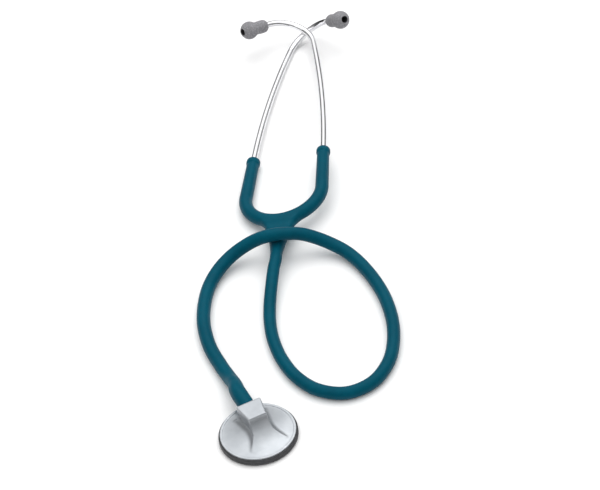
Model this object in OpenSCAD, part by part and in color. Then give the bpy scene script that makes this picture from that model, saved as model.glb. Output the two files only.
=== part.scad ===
// Stethoscope lying on a flat surface: two ear tubes, a sprung yoke, a looped
// tube and a round chestpiece. Millimetres, Z up, origin at the centre of the
// chestpiece's resting face.

/* [Tubing] */
// Outside diameter where the tubing leaves the yoke
tube_od_top = 8.0; // [7:0.1:10]
// Outside diameter near the chestpiece
tube_od_bottom = 9.2; // [8:0.1:11.5]
// Outside diameter of the stretched end over the stem
tube_flare_od = 10.4; // [9.6:0.1:12.5]
// Bore of the tubing
tube_bore = 4.6; // [3.5:0.1:5]

/* [Yoke] */
// Radius of the U, measured to the middle of its arms
yoke_radius = 26.6; // [22:0.1:32]
// Outside diameter of the U at its bottom
yoke_od = 9.0; // [8.2:0.1:11]
// Outside diameter of the arms just below the beads
arm_od = 8.3; // [7.6:0.1:9.4]
// Length of each straight arm
arm_length = 38; // [30:0.5:42]
// Inward lean of each arm, degrees
arm_toe = 2.8; // [0:0.1:6]
// Distance from the stem's end to the middle of the U's bottom
junction_length = 34.4; // [28:0.1:42]
// Diameter of the bead round each arm's end
bead_od = 9.5; // [9:0.1:11.5]
// Length of each bead
bead_length = 7; // [5:0.5:9]

/* [Ear tubes] */
// Outside diameter of the metal tubes
ear_tube_od = 4.6; // [4:0.1:5.6]
// Wall of the metal tubes
ear_tube_wall = 0.7; // [0.5:0.05:1]
// Length of the long gently curved part
ear_run = 119.5; // [105:1:150]
// Radius of that gentle curve
ear_run_radius = 710; // [600:10:1200]
// Radius of the bend before the ear tip
ear_bend_radius = 20.3; // [16:0.5:24]
// Angle of the bend before the ear tip, degrees
ear_bend_angle = 118; // [90:1:125]
// Tilt of that bend out of the headset's plane, degrees
ear_bend_tilt = 25; // [0:1:35]
// Free space between the two tubes where they cross
ear_cross_gap = 0.9; // [0.5:0.1:3]

/* [Ear tips] */
// Diameter of the soft bulb
tip_bulb_d = 12.7; // [11:0.1:15.5]
// Diameter of the soft neck
tip_neck_d = 9.4; // [8.6:0.1:11.5]
// Length of the soft tip
tip_length = 20; // [17:0.5:24]
// Diameter of the sound hole's mouth
tip_mouth_d = 4.8; // [3.5:0.1:6]

/* [Chestpiece] */
// Diameter over the rim
rim_d = 50; // [42:0.5:60]
// Height of the rim
rim_h = 4.6; // [4.2:0.1:5.6]
// Height of the block's top face
block_top = 19; // [17.5:0.5:23]
// Width of the block at the tubing's end
block_width = 17.2; // [15:0.1:20.5]
// Width of the block at its narrowest
block_waist = 12.6; // [11:0.1:15]
// Height of the stem's axis
stem_height = 12.4; // [11.6:0.1:15]

/* [Fits] */
// Radial running clearance
run_gap = 0.05; // [0.03:0.01:0.1]
// Clearance round pressed and moulded-in pieces
seat_gap = 0.04; // [0.02:0.01:0.1]
// Largest inward travel of the diaphragm
diaphragm_travel = 0.3; // [0.1:0.05:0.4]

/* [Hidden] */
$fn = 64;

// Where the headset lies: the stem's end, heading, pitch and roll
head_at = [28.2, 151.3, 10.5];
head_heading = 79.3;
head_pitch = -1;
head_roll = 9;

// Where the chestpiece's block points
chest_heading = 109;
block_shift = 1.3;
block_end = 14;

ear_r = ear_tube_od / 2;
ear_bore = ear_r - ear_tube_wall;
lumen_r = ear_r + run_gap;
// Step between curved and straight stretches, so that their walls never coincide
lap = 0.01;
insert_depth = 20;
run_tail = 6;
run_angle = (ear_run - run_tail) / ear_run_radius * 180 / PI;
// a wider U makes the tubes cross further round their bends, so they are turned a little more
wide_yoke = pow(max(1, yoke_radius / 26.6), 2);
ear_roll = asin(wide_yoke * (ear_tube_od + ear_cross_gap) * ear_run_radius / (ear_run * ear_run));
arc_sweep = 90 + arm_toe;
arc_mid = junction_length + yoke_radius;
leaf_w = 2 * sqrt(lumen_r * lumen_r - 0.9 * 0.9) - 0.5;
leaf_t = 0.5;
clip_l = 6;
leaf_end = arm_length - insert_depth - 1.2;

core_r = ear_r + 0.9;
core_l = 9;
tip_grip = 6.5;

stem_r = 2.6;
stem_seat = 8;
barb_r = 2.9;
barb_bore = (barb_r + 0.1) / cos(180 / 12);
body_r = rim_d / 2 - 1.7;
body_z = 1.5;
cap_r = rim_d / 2 - 1.1;
cap_z = rim_h + seat_gap;
lip_z = rim_h + 0.9;
disc_r = rim_d / 2 - 4.2;
disc_z = 0.5;
disc_t = 0.4;
// Height of the ridge inside the rim that snaps into the body's groove
snap_z = 0.7 * rim_h;
// Rise of the body's dish above its lip: share of the cap's radius, height
dish = [[0.9, 0], [0.8, 0.3], [0.63, 1], [0.5, 1.8], [0.38, 2.6], [0.3, 4.5]];

tube_sides = 12;
start_lift = head_at[2] - tube_od_top / 2;
cross_lift = head_at[2] + yoke_od / 2 + 0.35;
end_lift = stem_height - tube_od_bottom / 2;

function turn_z(p, a) = [p[0] * cos(a) - p[1] * sin(a), p[0] * sin(a) + p[1] * cos(a), p[2]];
function turn_x(p, a) = [p[0], p[1] * cos(a) - p[2] * sin(a), p[1] * sin(a) + p[2] * cos(a)];
head_dir = turn_z(turn_x([0, 1, 0], head_pitch), head_heading - 90);
entry = concat([for (k = [0:1]) turn_z([block_end, -block_shift, 0], chest_heading)[k]],
    [stem_height]);
entry_dir = turn_z([1, 0, 0], chest_heading);

// Route of the tubing: x, y and the share of the lift at that place
route_descent = [[25, 139, 0.84], [21.6, 124, 0.5], [18.8, 109, 0.2], [17.4, 94, 0.03]];
route_loop = [[18, 78, 0], [21.5, 60, 0], [29, 42, 0], [41, 28, 0], [58, 21.3, 0],
    [75, 26.5, 0], [87, 41, 0], [93, 59, 0], [95, 80, 0], [92.5, 104, 0], [85, 128.5, 0],
    [75, 146.5, 0.09], [62, 157, 0.33], [48, 160.5, 0.75], [36, 160.3, 0.98],
    [25, 161, 0.97], [13, 162.6, 0.66], [0, 159.5, 0.31], [-11, 150, 0.12],
    [-19, 136, 0.03], [-23.5, 119, 0], [-25, 101, 0], [-22.8, 81, 0], [-17.5, 63, 0]];
route_rise = [[-13, 49.5, 0.2], [-10.2, 39, 0.7]];

route_n = 4 + len(route_descent) + len(route_loop) + len(route_rise);
function base_r(i) = (tube_od_top + (tube_od_bottom - tube_od_top) * i / (route_n - 1)) / 2;
function tube_r(i) = i > route_n - 2.1 ? tube_flare_od / 2 : base_r(i);
function tube_in(i) = i > route_n - 2.1 ? barb_bore : tube_bore / 2;
function laid(rows, first, lift) = [for (k = [0:len(rows) - 1])
    [rows[k][0], rows[k][1], base_r(first + k) + rows[k][2] * lift]];
route = concat([head_at, head_at - 6 * head_dir],
    laid(route_descent, 2, start_lift),
    laid(route_loop, 2 + len(route_descent), cross_lift),
    laid(route_rise, 2 + len(route_descent) + len(route_loop), end_lift),
    [entry + 16 * entry_dir, entry]);

function curve(a, b, c, d, t) = 0.5 * (2 * b + (c - a) * t + (2 * a - 5 * b + 4 * c - d) * t * t
    + (3 * b - a - 3 * c + d) * t * t * t);
function unit(v) = v / norm(v);
function corner(x, y, r, from) = [for (k = [0:6])
    [x + r * cos(from + 15 * k), y + r * sin(from + 15 * k)]];
tube_steps = [for (i = [0:route_n - 2]) for (k = [0:1]) i + k / 2];
steps = concat(tube_steps, [route_n - 1]);
function at_step(s) = let (i = min(floor(s), route_n - 2), t = s - i,
    p = curve(route[max(i - 1, 0)], route[i], route[i + 1], route[min(i + 2, route_n - 1)], t))
    [p[0], p[1], max(p[2], tube_r(s) + 0.02)];
mids = [for (s = steps) at_step(s)];
last = len(mids) - 1;
function heading(j) = j == 0 ? unit(route[1] - route[0])
    : j == last ? unit(route[route_n - 1] - route[route_n - 2])
    : unit(mids[j + 1] - mids[j - 1]);
function ring(j, r) = let (t = heading(j), s = unit(cross(t, [0, 0, 1])), u = cross(s, t))
    [for (k = [0:tube_sides - 1]) mids[j]
        + r * (cos(k * 360 / tube_sides - 90) * s + sin(k * 360 / tube_sides - 90) * u)];

module in_headset() {
    translate(head_at) rotate([0, 0, head_heading - 90]) rotate([head_pitch, 0, 0])
        rotate([0, -head_roll, 0]) children();
}

// Right-hand side of the headset: the U's quarter, ending where the arm begins
module at_arm() {
    translate([0, arc_mid, 0]) rotate([0, 0, arm_toe]) translate([yoke_radius, 0, 0]) children();
}

module at_collar() {
    at_arm() translate([0, arm_length, 0]) children();
}

module after_run(roll) {
    at_collar() rotate([0, roll, 0]) translate([-ear_run_radius, 0, 0])
        rotate([0, 0, run_angle]) translate([ear_run_radius, 0, 0]) rotate([0, -roll, 0])
        children();
}

module after_bend(roll) {
    after_run(roll) translate([0, run_tail, 0]) rotate([0, ear_bend_tilt, 0])
        translate([-ear_bend_radius, 0, 0]) rotate([0, 0, ear_bend_angle])
        translate([ear_bend_radius, 0, 0]) rotate([-90, 0, 0]) children();
}

module side(left) {
    in_headset() mirror([left ? 1 : 0, 0, 0]) children();
}

module rod_arc(radius, angle, r) {
    translate([-radius, 0, 0]) rotate_extrude(angle = angle, $fn = 72) translate([radius, 0])
        circle(r - lap, $fn = 48);
}

// One ear tube as a solid rod of radius r, with both ends longer by extra
module ear_rod(roll, r, extra) {
    at_collar() translate([0, 0.1, 0]) rotate([90, 0, 0])
        cylinder(r = r, h = insert_depth + 0.1 + extra);
    at_collar() rotate([0, roll, 0]) rod_arc(ear_run_radius, run_angle, r);
    after_run(roll) translate([0, -0.1, 0]) rotate([-90, 0, 0])
        cylinder(r = r, h = run_tail + 0.2);
    after_run(roll) translate([0, run_tail, 0]) rotate([0, ear_bend_tilt, 0])
        rod_arc(ear_bend_radius, ear_bend_angle, r);
    after_bend(roll) translate([0, 0, -0.1]) cylinder(r = r, h = 4.1 + tip_grip + extra);
}

module ear_tube(left) {
    roll = left ? -ear_roll : ear_roll;
    side(left) difference() {
        ear_rod(roll, ear_r, 0);
        ear_rod(roll, ear_bore, 1);
    }
}

module ear_tip(left) {
    roll = left ? -ear_roll : ear_roll;
    bulb = tip_bulb_d / 2;
    neck = tip_neck_d / 2;
    side(left) after_bend(roll) translate([0, 0, 3]) rotate_extrude() difference() {
        intersection() {
            union() {
                translate([0, tip_length - bulb + 0.5]) circle(bulb);
                translate([0, neck - 0.3]) circle(neck);
                translate([0, neck - 0.3]) square([neck * 0.92, tip_length - neck - bulb]);
            }
            square([2 * bulb, tip_length]);
        }
        translate([-1, -1]) square([core_r + seat_gap + 1, core_l + 2]);
        translate([-1, 0]) square([ear_bore + 1, tip_length + 1]);
        polygon([[0, tip_length - 2.5], [ear_bore, tip_length - 2.5],
            [tip_mouth_d / 2, tip_length + 0.01], [0, tip_length + 0.01]]);
    }
}

module ear_tip_core(left) {
    roll = left ? -ear_roll : ear_roll;
    side(left) after_bend(roll) translate([0, 0, 4]) rotate_extrude() difference() {
        square([core_r, core_l]);
        translate([-1, -1]) square([ear_r + run_gap + 1, tip_grip + 1 + run_gap]);
        translate([-1, -1]) square([ear_bore + 1, core_l + 2]);
    }
}

module ear_tip_left() { color([0.53, 0.53, 0.55]) ear_tip(true); }
module ear_tip_right() { color([0.53, 0.53, 0.55]) ear_tip(false); }
module ear_tip_core_left() { color([0.9, 0.9, 0.88]) ear_tip_core(true); }
module ear_tip_core_right() { color([0.9, 0.9, 0.88]) ear_tip_core(false); }
module ear_tube_left() { color([0.8, 0.8, 0.82]) ear_tube(true); }
module ear_tube_right() { color([0.8, 0.8, 0.82]) ear_tube(false); }

module arm_solid() {
    at_arm() translate([0, -0.1, 0]) rotate([-90, 0, 0]) cylinder(r1 = yoke_od / 2 + lap,
        r2 = arm_od / 2, h = arm_length - bead_length / 2);
    at_collar() rotate([90, 0, 0]) rotate_extrude() polygon(concat([[0, 0]],
        corner(bead_od / 2 - 1.8, 1.8, 1.8, -90),
        corner(bead_od / 2 - 1.8, bead_length - 1.8, 1.8, 0), [[0, bead_length]]));
}

module arm_hollow() {
    at_arm() translate([0, -0.1, 0]) rotate([-90, 0, 0])
        cylinder(r = lumen_r, h = arm_length + 1);
}

module yoke() {
    half = yoke_od / 2;
    color([0.02, 0.36, 0.44]) in_headset() difference() {
        union() {
            translate([0, arc_mid, 0]) rotate([0, 0, 180 - arm_toe])
                rotate_extrude(angle = 2 * arc_sweep, $fn = 96)
                translate([yoke_radius, 0]) circle(half);
            arm_solid();
            mirror([1, 0, 0]) arm_solid();
            intersection() {
                rotate([-90, 0, 0]) rotate_extrude() polygon([[0, 0],
                    [tube_od_top / 2, 0], [tube_od_top / 2 + 0.4, 4], [6.4, 15], [9.2, 25],
                    [11, junction_length - 3], [11, junction_length + 1], [0, junction_length + 1]]);
                translate([-20, -1, 0.15 - half]) cube([40, junction_length + 3, yoke_od - 0.3]);
            }
        }
        translate([0, arc_mid, 0]) rotate([0, 0, 180 - arm_toe])
            rotate_extrude(angle = 2 * arc_sweep, $fn = 96)
            translate([yoke_radius, 0]) circle(lumen_r - 0.05);
        arm_hollow();
        mirror([1, 0, 0]) arm_hollow();
        translate([0, -1, 0]) rotate([-90, 0, 0]) cylinder(r = tube_bore / 2,
            h = junction_length + 1);
    }
}

module leaf(r1, ends) {
    in_headset() union() {
        translate([0, arc_mid, 0]) rotate([0, 0, 180 - arm_toe])
            rotate_extrude(angle = 2 * arc_sweep, $fn = 96)
            translate([yoke_radius + r1, -leaf_w / 2]) square([leaf_t, leaf_w]);
        for (m = [0:1]) mirror([m, 0, 0]) at_arm() translate([r1, 0, -leaf_w / 2])
            cube([leaf_t, ends, leaf_w]);
    }
}

module spring_leaf_outer() { color([0.75, 0.75, 0.77]) leaf(0.05, leaf_end); }
module spring_leaf_inner() { color([0.75, 0.75, 0.77]) leaf(-leaf_t - 0.05, leaf_end - 1); }

module spring_clip(left) {
    side(left) at_collar() translate([0, -insert_depth, 0]) rotate([90, 0, 0]) difference() {
        cylinder(r = ear_r - 0.05, h = clip_l);
        translate([0, 0, -1]) cylinder(r = 0.9, h = clip_l + 2);
        translate([-leaf_t - 0.05 - seat_gap, -leaf_w / 2 - seat_gap, 1])
            cube([2 * leaf_t + 0.1 + 2 * seat_gap, leaf_w + 2 * seat_gap, clip_l]);
    }
}

module spring_clip_left() { color([0.7, 0.7, 0.72]) spring_clip(true); }
module spring_clip_right() { color([0.7, 0.7, 0.72]) spring_clip(false); }

module tubing() {
    m = tube_sides;
    outer = [for (j = [0:last]) each ring(j, tube_r(steps[j]))];
    inner = [for (j = [0:last]) each ring(j, tube_in(steps[j]))];
    o = len(outer);
    color([0.02, 0.36, 0.44]) polyhedron(points = concat(outer, inner), faces = concat(
        [for (j = [0:last - 1]) for (k = [0:m - 1]) each let (q = (k + 1) % m, a = j * m, b = a + m)
            [[a + k, b + k, b + q], [a + k, b + q, a + q],
             [o + a + k, o + b + q, o + b + k], [o + a + k, o + a + q, o + b + q]]],
        [for (k = [0:m - 1]) let (q = (k + 1) % m) [k, q, o + q, o + k]],
        [for (k = [0:m - 1]) let (q = (k + 1) % m, a = last * m) [a + q, a + k, o + a + k, o + a + q]]));
}

module in_block() {
    rotate([0, 0, chest_heading]) translate([0, -block_shift, 0]) children();
}

module chestpiece_stem() {
    color([0.78, 0.78, 0.8]) in_block() translate([block_end - stem_seat, 0, stem_height])
        rotate([0, 90, 0]) rotate_extrude() difference() {
            union() {
                square([stem_r, stem_seat + 13]);
                for (k = [0:2]) translate([0, stem_seat + 2 + 4 * k])
                    polygon([[0, 0], [barb_r, 0], [stem_r, 2.6], [0, 2.6]]);
            }
            translate([-1, -1]) square([2.6, stem_seat + 15]);
        }
}

module chestpiece_body() {
    w = block_width / 2;
    n = block_waist / 2;
    top = block_top;
    color([0.72, 0.74, 0.75]) difference() {
        union() {
            rotate_extrude($fn = 128) polygon(concat([[0, body_z], [body_r, body_z],
                [body_r, snap_z - 0.8], [body_r - 0.45, snap_z - 0.4], [body_r - 0.45, snap_z + 0.4],
                [body_r, snap_z + 0.8], [body_r, cap_z], [cap_r, cap_z], [cap_r, cap_z + 0.36],
                [cap_r - 0.7, lip_z]], [for (d = dish) [cap_r * d[0], lip_z + d[1]]],
                [[0, lip_z + 4.5]]));
            in_block() intersection() {
                translate([0, 0, 4]) linear_extrude(top - 4) polygon([[block_end, w],
                    [block_end, -w], [-0.4, -n], [-4, -n - 0.3], [-8, -n - 1.3], [-12.5, -n - 3],
                    [-12.5, n + 3], [-8, n + 1.3], [-4, n + 0.3], [-0.4, n]]);
                rotate([90, 0, 0]) linear_extrude(40, center = true) polygon([[-13, 4],
                    [-11.4, 6.8], [-9.5, 8.6], [-7.6, 10.2], [-2.2, top - 1.4], [-1.4, top - 0.4],
                    [-0.4, top], [block_end - 0.6, top], [block_end, top - 0.6], [block_end, 8.2],
                    [block_end - 1.5, 6.6], [block_end - 3, 4]]);
                rotate([90, 0, 90]) linear_extrude(60, center = true) polygon([[-w - 3, 4],
                    [-w - 3, 6], [-w + 1.6, 10], [-w + 0.6, 13], [-w, top - 3.4], [-w, top - 0.7],
                    [-w + 0.7, top], [w - 0.7, top], [w, top - 0.7], [w, top - 3.4],
                    [w - 0.6, 13], [w - 1.6, 10], [w + 3, 6], [w + 3, 4]]);
            }
        }
        translate([0, 0, 1]) cylinder(r1 = body_r - 4, r2 = body_r - 5.4, h = 1.8);
        in_block() translate([block_end - stem_seat, 0, stem_height]) rotate([0, 90, 0])
            cylinder(r = stem_r + seat_gap, h = stem_seat + 1);
        in_block() translate([0, 0, stem_height]) rotate([0, 90, 0]) cylinder(r = 1.6, h = block_end);
        in_block() translate([1.6, 0, 1]) cylinder(r = 1.6, h = stem_height - 1);
    }
}

module rim_ring() {
    r = rim_d / 2;
    color([0.2, 0.2, 0.21]) rotate_extrude($fn = 128) polygon(concat([[disc_r + 0.8, 0]],
        corner(r - 1.6, 1.6, 1.6, -90), corner(r - 1.2, rim_h - 1.2, 1.2, 0),
        [[body_r + seat_gap, rim_h], [body_r + seat_gap, snap_z + 0.65],
        [body_r - 0.4, snap_z + 0.25], [body_r - 0.4, snap_z - 0.25],
        [body_r + seat_gap, snap_z - 0.65], [body_r + seat_gap, 0.56], [disc_r + 0.8, 0.56]]));
}

module diaphragm() {
    color([0.86, 0.87, 0.85]) translate([0, 0, disc_z]) cylinder(r = disc_r, h = disc_t, $fn = 128);
}

module diaphragm_surround() {
    color([0.16, 0.16, 0.17]) rotate_extrude($fn = 128) difference() {
        union() {
            translate([disc_r - 1, disc_z - 0.25]) square([1.7, body_z - seat_gap - disc_z + 0.25]);
            translate([disc_r, disc_z + 0.1]) square([body_r - disc_r, 0.55]);
            translate([body_r - 1.1, disc_z + 0.1]) square([1.1, body_z - seat_gap - disc_z - 0.1]);
        }
        translate([0, disc_z - seat_gap]) square([disc_r + seat_gap,
            disc_t + diaphragm_travel + 2 * seat_gap]);
    }
}

ear_tip_left();
ear_tip_right();
ear_tip_core_left();
ear_tip_core_right();
ear_tube_left();
ear_tube_right();
yoke();
spring_leaf_outer();
spring_leaf_inner();
spring_clip_left();
spring_clip_right();
tubing();
chestpiece_stem();
chestpiece_body();
rim_ring();
diaphragm();
diaphragm_surround();
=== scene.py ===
import math

import bmesh
import bpy
import numpy as np
from mathutils import Matrix, Vector


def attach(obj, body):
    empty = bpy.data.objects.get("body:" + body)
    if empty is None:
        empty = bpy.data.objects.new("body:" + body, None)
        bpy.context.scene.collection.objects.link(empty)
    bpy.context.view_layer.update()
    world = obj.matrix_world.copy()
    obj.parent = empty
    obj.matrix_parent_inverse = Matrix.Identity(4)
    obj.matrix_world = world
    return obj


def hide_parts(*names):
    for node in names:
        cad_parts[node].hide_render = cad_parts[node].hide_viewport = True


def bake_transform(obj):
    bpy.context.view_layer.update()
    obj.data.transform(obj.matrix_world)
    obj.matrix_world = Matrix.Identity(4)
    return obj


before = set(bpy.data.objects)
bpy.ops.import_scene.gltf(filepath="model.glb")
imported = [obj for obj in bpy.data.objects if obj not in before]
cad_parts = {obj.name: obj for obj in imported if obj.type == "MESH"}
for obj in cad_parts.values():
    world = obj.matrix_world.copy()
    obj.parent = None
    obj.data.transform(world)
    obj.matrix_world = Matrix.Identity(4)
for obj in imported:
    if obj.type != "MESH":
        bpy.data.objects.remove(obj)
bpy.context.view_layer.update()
mm = 0.001
sides = ((1, "right"), (-1, "left"))
scene = bpy.context.scene


# small helpers

def turned(angle, axis):
    return Matrix.Rotation(math.radians(angle), 4, axis)


def moved(x, y, z):
    return Matrix.Translation((x, y, z))


def unit(v):
    return v / np.maximum(np.linalg.norm(v, axis=-1, keepdims=True), 1e-12)


def placed(points, matrix):
    m = np.array(matrix)
    return np.asarray(points, float) @ m[:3, :3].T + m[:3, 3]


def newPiece(name, points, faces, sharpAngle=35):
    mesh = bpy.data.meshes.new(name)
    mesh.from_pydata([tuple(p) for p in points], [], [tuple(f) for f in faces])
    mesh.validate()
    mesh.polygons.foreach_set("use_smooth", [True] * len(mesh.polygons))
    mesh.set_sharp_from_angle(angle=math.radians(sharpAngle))
    piece = bpy.data.objects.new(name, mesh)
    scene.collection.objects.link(piece)
    return piece


def finished(piece, material, body=None, nodes=()):
    piece.data.materials.clear()
    piece.data.materials.append(material)
    if body:
        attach(piece, body)
    if nodes:
        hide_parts(*nodes)


# camera

cameraSetup = {
    "lens": 180,
    "sensor": 36,
    "elevation": 42.4,  # degrees above the table
    "roll": 9.4,
    "place": (0.0446, -1.2993, 1.34),
    "clip": (0.05, 30),
}


def makeCamera(setup):
    e, r = math.radians(setup["elevation"]), math.radians(setup["roll"])
    back = Vector((0, -math.cos(e), math.sin(e)))
    level = Vector((1, 0, 0))
    upright = back.cross(level)
    right = math.cos(r) * level - math.sin(r) * upright
    up = math.sin(r) * level + math.cos(r) * upright
    data = bpy.data.cameras.new("camera")
    data.lens, data.sensor_width = setup["lens"], setup["sensor"]
    data.clip_start, data.clip_end = setup["clip"]
    camera = bpy.data.objects.new("camera", data)
    scene.collection.objects.link(camera)
    turn = Matrix((right, up, back)).transposed().to_4x4()
    camera.matrix_world = Matrix.Translation(setup["place"]) @ turn
    scene.camera = camera


makeCamera(cameraSetup)
print("camera ready")


# shader groups shared by several materials

def nodeGroup(name, inputs, outputs):
    group = bpy.data.node_groups.new(name, "ShaderNodeTree")
    for label, value in inputs:
        socket = group.interface.new_socket(name=label, in_out="INPUT", socket_type="NodeSocketFloat")
        socket.default_value = value
    for label in outputs:
        group.interface.new_socket(name=label, in_out="OUTPUT", socket_type="NodeSocketFloat")
    return group, group.nodes.new("NodeGroupInput"), group.nodes.new("NodeGroupOutput")


def noiseNode(tree, scale, detail, roughness, place):
    node = tree.nodes.new("ShaderNodeTexNoise")
    node.inputs["Scale"].default_value = scale
    node.inputs["Detail"].default_value = detail
    node.inputs["Roughness"].default_value = roughness
    tree.links.new(place, node.inputs["Vector"])
    return node


def mathNode(tree, operation, first, second=None, clamp=False):
    node = tree.nodes.new("ShaderNodeMath")
    node.operation, node.use_clamp = operation, clamp
    for socket, value in zip(node.inputs, (first, second)):
        if value is None:
            continue
        if isinstance(value, (int, float)):
            socket.default_value = value
        else:
            tree.links.new(value, socket)
    return node.outputs[0]


def rangeNode(tree, value, low, high, toLow, toHigh, smooth=False):
    node = tree.nodes.new("ShaderNodeMapRange")
    node.interpolation_type = "SMOOTHSTEP" if smooth else "LINEAR"
    for label, number in zip(("From Min", "From Max", "To Min", "To Max"), (low, high, toLow, toHigh)):
        node.inputs[label].default_value = number
    tree.links.new(value, node.inputs["Value"])
    return node.outputs["Result"]


def scaledPlace(tree, size):
    place = tree.nodes.new("ShaderNodeTexCoord")
    scale = tree.nodes.new("ShaderNodeVectorMath")
    scale.operation = "SCALE"
    tree.links.new(place.outputs["Object"], scale.inputs[0])
    tree.links.new(size, scale.inputs["Scale"])
    return scale.outputs[0]


def makeGrain():
    # fine moulded grain, with slow changes of tone; Per Metre is the number of grains in a metre
    group, start, end = nodeGroup("mouldedGrain", [("Per Metre", 2500)], ["Height", "Tone", "Cloud"])
    place = scaledPlace(group, start.outputs["Per Metre"])
    fine = noiseNode(group, 1, 3, 0.6, place)
    slow = noiseNode(group, 0.11, 4, 0.55, place)
    wide = noiseNode(group, 0.017, 3, 0.5, place)
    group.links.new(fine.outputs["Fac"], end.inputs["Height"])
    group.links.new(rangeNode(group, slow.outputs["Fac"], 0.3, 0.7, 0, 1), end.inputs["Tone"])
    group.links.new(rangeNode(group, wide.outputs["Fac"], 0.35, 0.65, 0, 1), end.inputs["Cloud"])
    return group


def makeSpeckle():
    # irregular flecks, as in a filled soft rubber
    group, start, end = nodeGroup("rubberFlecks", [("Per Metre", 1400), ("Share", 0.5)], ["Mask", "Height"])
    place = scaledPlace(group, start.outputs["Per Metre"])
    coarse = noiseNode(group, 1, 5, 0.75, place)
    low = mathNode(group, "SUBTRACT", 0.75, start.outputs["Share"])
    lifted = mathNode(group, "SUBTRACT", coarse.outputs["Fac"], low)
    group.links.new(rangeNode(group, lifted, -0.01, 0.32, 0, 1, True), end.inputs["Mask"])
    group.links.new(coarse.outputs["Fac"], end.inputs["Height"])
    return group


def makeDust():
    # a little dust that settles on faces turned upwards
    group, start, end = nodeGroup("settledDust", [("Amount", 0.2)], ["Mask"])
    facing = group.nodes.new("ShaderNodeNewGeometry")
    split = group.nodes.new("ShaderNodeSeparateXYZ")
    group.links.new(facing.outputs["Normal"], split.inputs[0])
    upward = rangeNode(group, split.outputs["Z"], 0.3, 1, 0, 1, True)
    place = group.nodes.new("ShaderNodeTexCoord")
    motes = noiseNode(group, 2200, 4, 0.7, place.outputs["Object"])
    patches = noiseNode(group, 60, 3, 0.6, place.outputs["Object"])
    spots = rangeNode(group, motes.outputs["Fac"], 0.56, 0.74, 0, 1, True)
    areas = rangeNode(group, patches.outputs["Fac"], 0.35, 0.7, 0.15, 1)
    mask = mathNode(group, "MULTIPLY", mathNode(group, "MULTIPLY", upward, spots), areas)
    group.links.new(mathNode(group, "MULTIPLY", mask, start.outputs["Amount"], True), end.inputs["Mask"])
    return group


def makeWear():
    # convex edges that handling has rubbed; on the cast metal this lightening also paints a highlight along
    # the lip
    group, start, end = nodeGroup("rubbedEdges", [("Amount", 0.5)], ["Mask"])
    facing = group.nodes.new("ShaderNodeNewGeometry")
    convex = rangeNode(group, facing.outputs["Pointiness"], 0.53, 0.6, 0, 1, True)
    place = group.nodes.new("ShaderNodeTexCoord")
    broken = noiseNode(group, 900, 4, 0.65, place.outputs["Object"])
    uneven = rangeNode(group, broken.outputs["Fac"], 0.35, 0.65, 0.2, 1)
    mask = mathNode(group, "MULTIPLY", convex, uneven)
    group.links.new(mathNode(group, "MULTIPLY", mask, start.outputs["Amount"], True), end.inputs["Mask"])
    return group


def makeScratches():
    # hairline marks in three directions
    group, start, end = nodeGroup("hairlines", [("Per Metre", 900)], ["Mask"])
    place = scaledPlace(group, start.outputs["Per Metre"])
    total = None
    for number, turn in enumerate(((0.3, 0.9, 0.2), (1.4, 0.2, 0.7), (0.6, 1.1, 2.1))):
        mapping = group.nodes.new("ShaderNodeMapping")
        mapping.inputs["Rotation"].default_value = turn
        mapping.inputs["Scale"].default_value = (0.05, 1, 1)
        group.links.new(place, mapping.inputs["Vector"])
        lines = noiseNode(group, 1 + 0.3 * number, 3, 0.7, mapping.outputs["Vector"])
        thin = rangeNode(group, lines.outputs["Fac"], 0.62, 0.72, 0, 1, True)
        total = thin if total is None else mathNode(group, "MAXIMUM", total, thin)
    group.links.new(total, end.inputs["Mask"])
    return group


grain, speckle, dust = makeGrain(), makeSpeckle(), makeDust()
rubbed, hairlines = makeWear(), makeScratches()


# materials

class Finish:
    # a material with its shader, and short ways to add to it
    def __init__(self, name, base, roughness, metallic=0.0):
        self.material = bpy.data.materials.new(name)
        self.material.use_nodes = True
        self.tree = self.material.node_tree
        self.shader = next(n for n in self.tree.nodes if n.type == "BSDF_PRINCIPLED")
        self.shader.inputs["Base Color"].default_value = (*base, 1)
        self.shader.inputs["Roughness"].default_value = roughness
        self.shader.inputs["Metallic"].default_value = metallic
        self.material.diffuse_color = (*base, 1)

    def add(self, group, **values):
        node = self.tree.nodes.new("ShaderNodeGroup")
        node.node_tree = group
        for label, value in values.items():
            node.inputs[label.replace("_", " ")].default_value = value
        return node

    def mix(self, mask, first, second):
        node = self.tree.nodes.new("ShaderNodeMix")
        node.data_type = "RGBA"
        self.tree.links.new(mask, node.inputs["Factor"])
        for socket, value in ((node.inputs["A"], first), (node.inputs["B"], second)):
            if isinstance(value, (tuple, list)):
                socket.default_value = (*value, 1)
            else:
                self.tree.links.new(value, socket)
        return node.outputs["Result"]

    def colour(self, source):
        self.tree.links.new(source, self.shader.inputs["Base Color"])

    def roughness(self, source, span, top=1):
        # a source that runs from 0 to top becomes a roughness within the span
        spread = rangeNode(self.tree, source, 0, top, *span)
        self.tree.links.new(spread, self.shader.inputs["Roughness"])

    def bump(self, height, strength, distance, under=None):
        node = self.tree.nodes.new("ShaderNodeBump")
        node.inputs["Strength"].default_value = strength
        node.inputs["Distance"].default_value = distance
        self.tree.links.new(height, node.inputs["Height"])
        if under is not None:
            self.tree.links.new(under, node.inputs["Normal"])
        self.tree.links.new(node.outputs["Normal"], self.shader.inputs["Normal"])
        return node.outputs["Normal"]


# in every look, bump is the strength and the depth in metres
tealRubber = {
    "deep": (0.0, 0.056, 0.09),
    "light": (0.0, 0.08, 0.124),
    "dust": (0.06, 0.17, 0.2),
    "dustAmount": 0.1,
    "rubbedAmount": 0.35,
    "meanRoughness": 0.42,
    "roughness": (0.42, 0.54),
    "gloss": 0.12,
    "glossTint": (0.35, 0.88, 1, 1),
    "grainPerMetre": 3200,
    "baseLight": 0.1,
    "toneShare": 0.45,
    "cloudShare": 0.45,
    "bump": (0.25, 0.00006),
}


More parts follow.
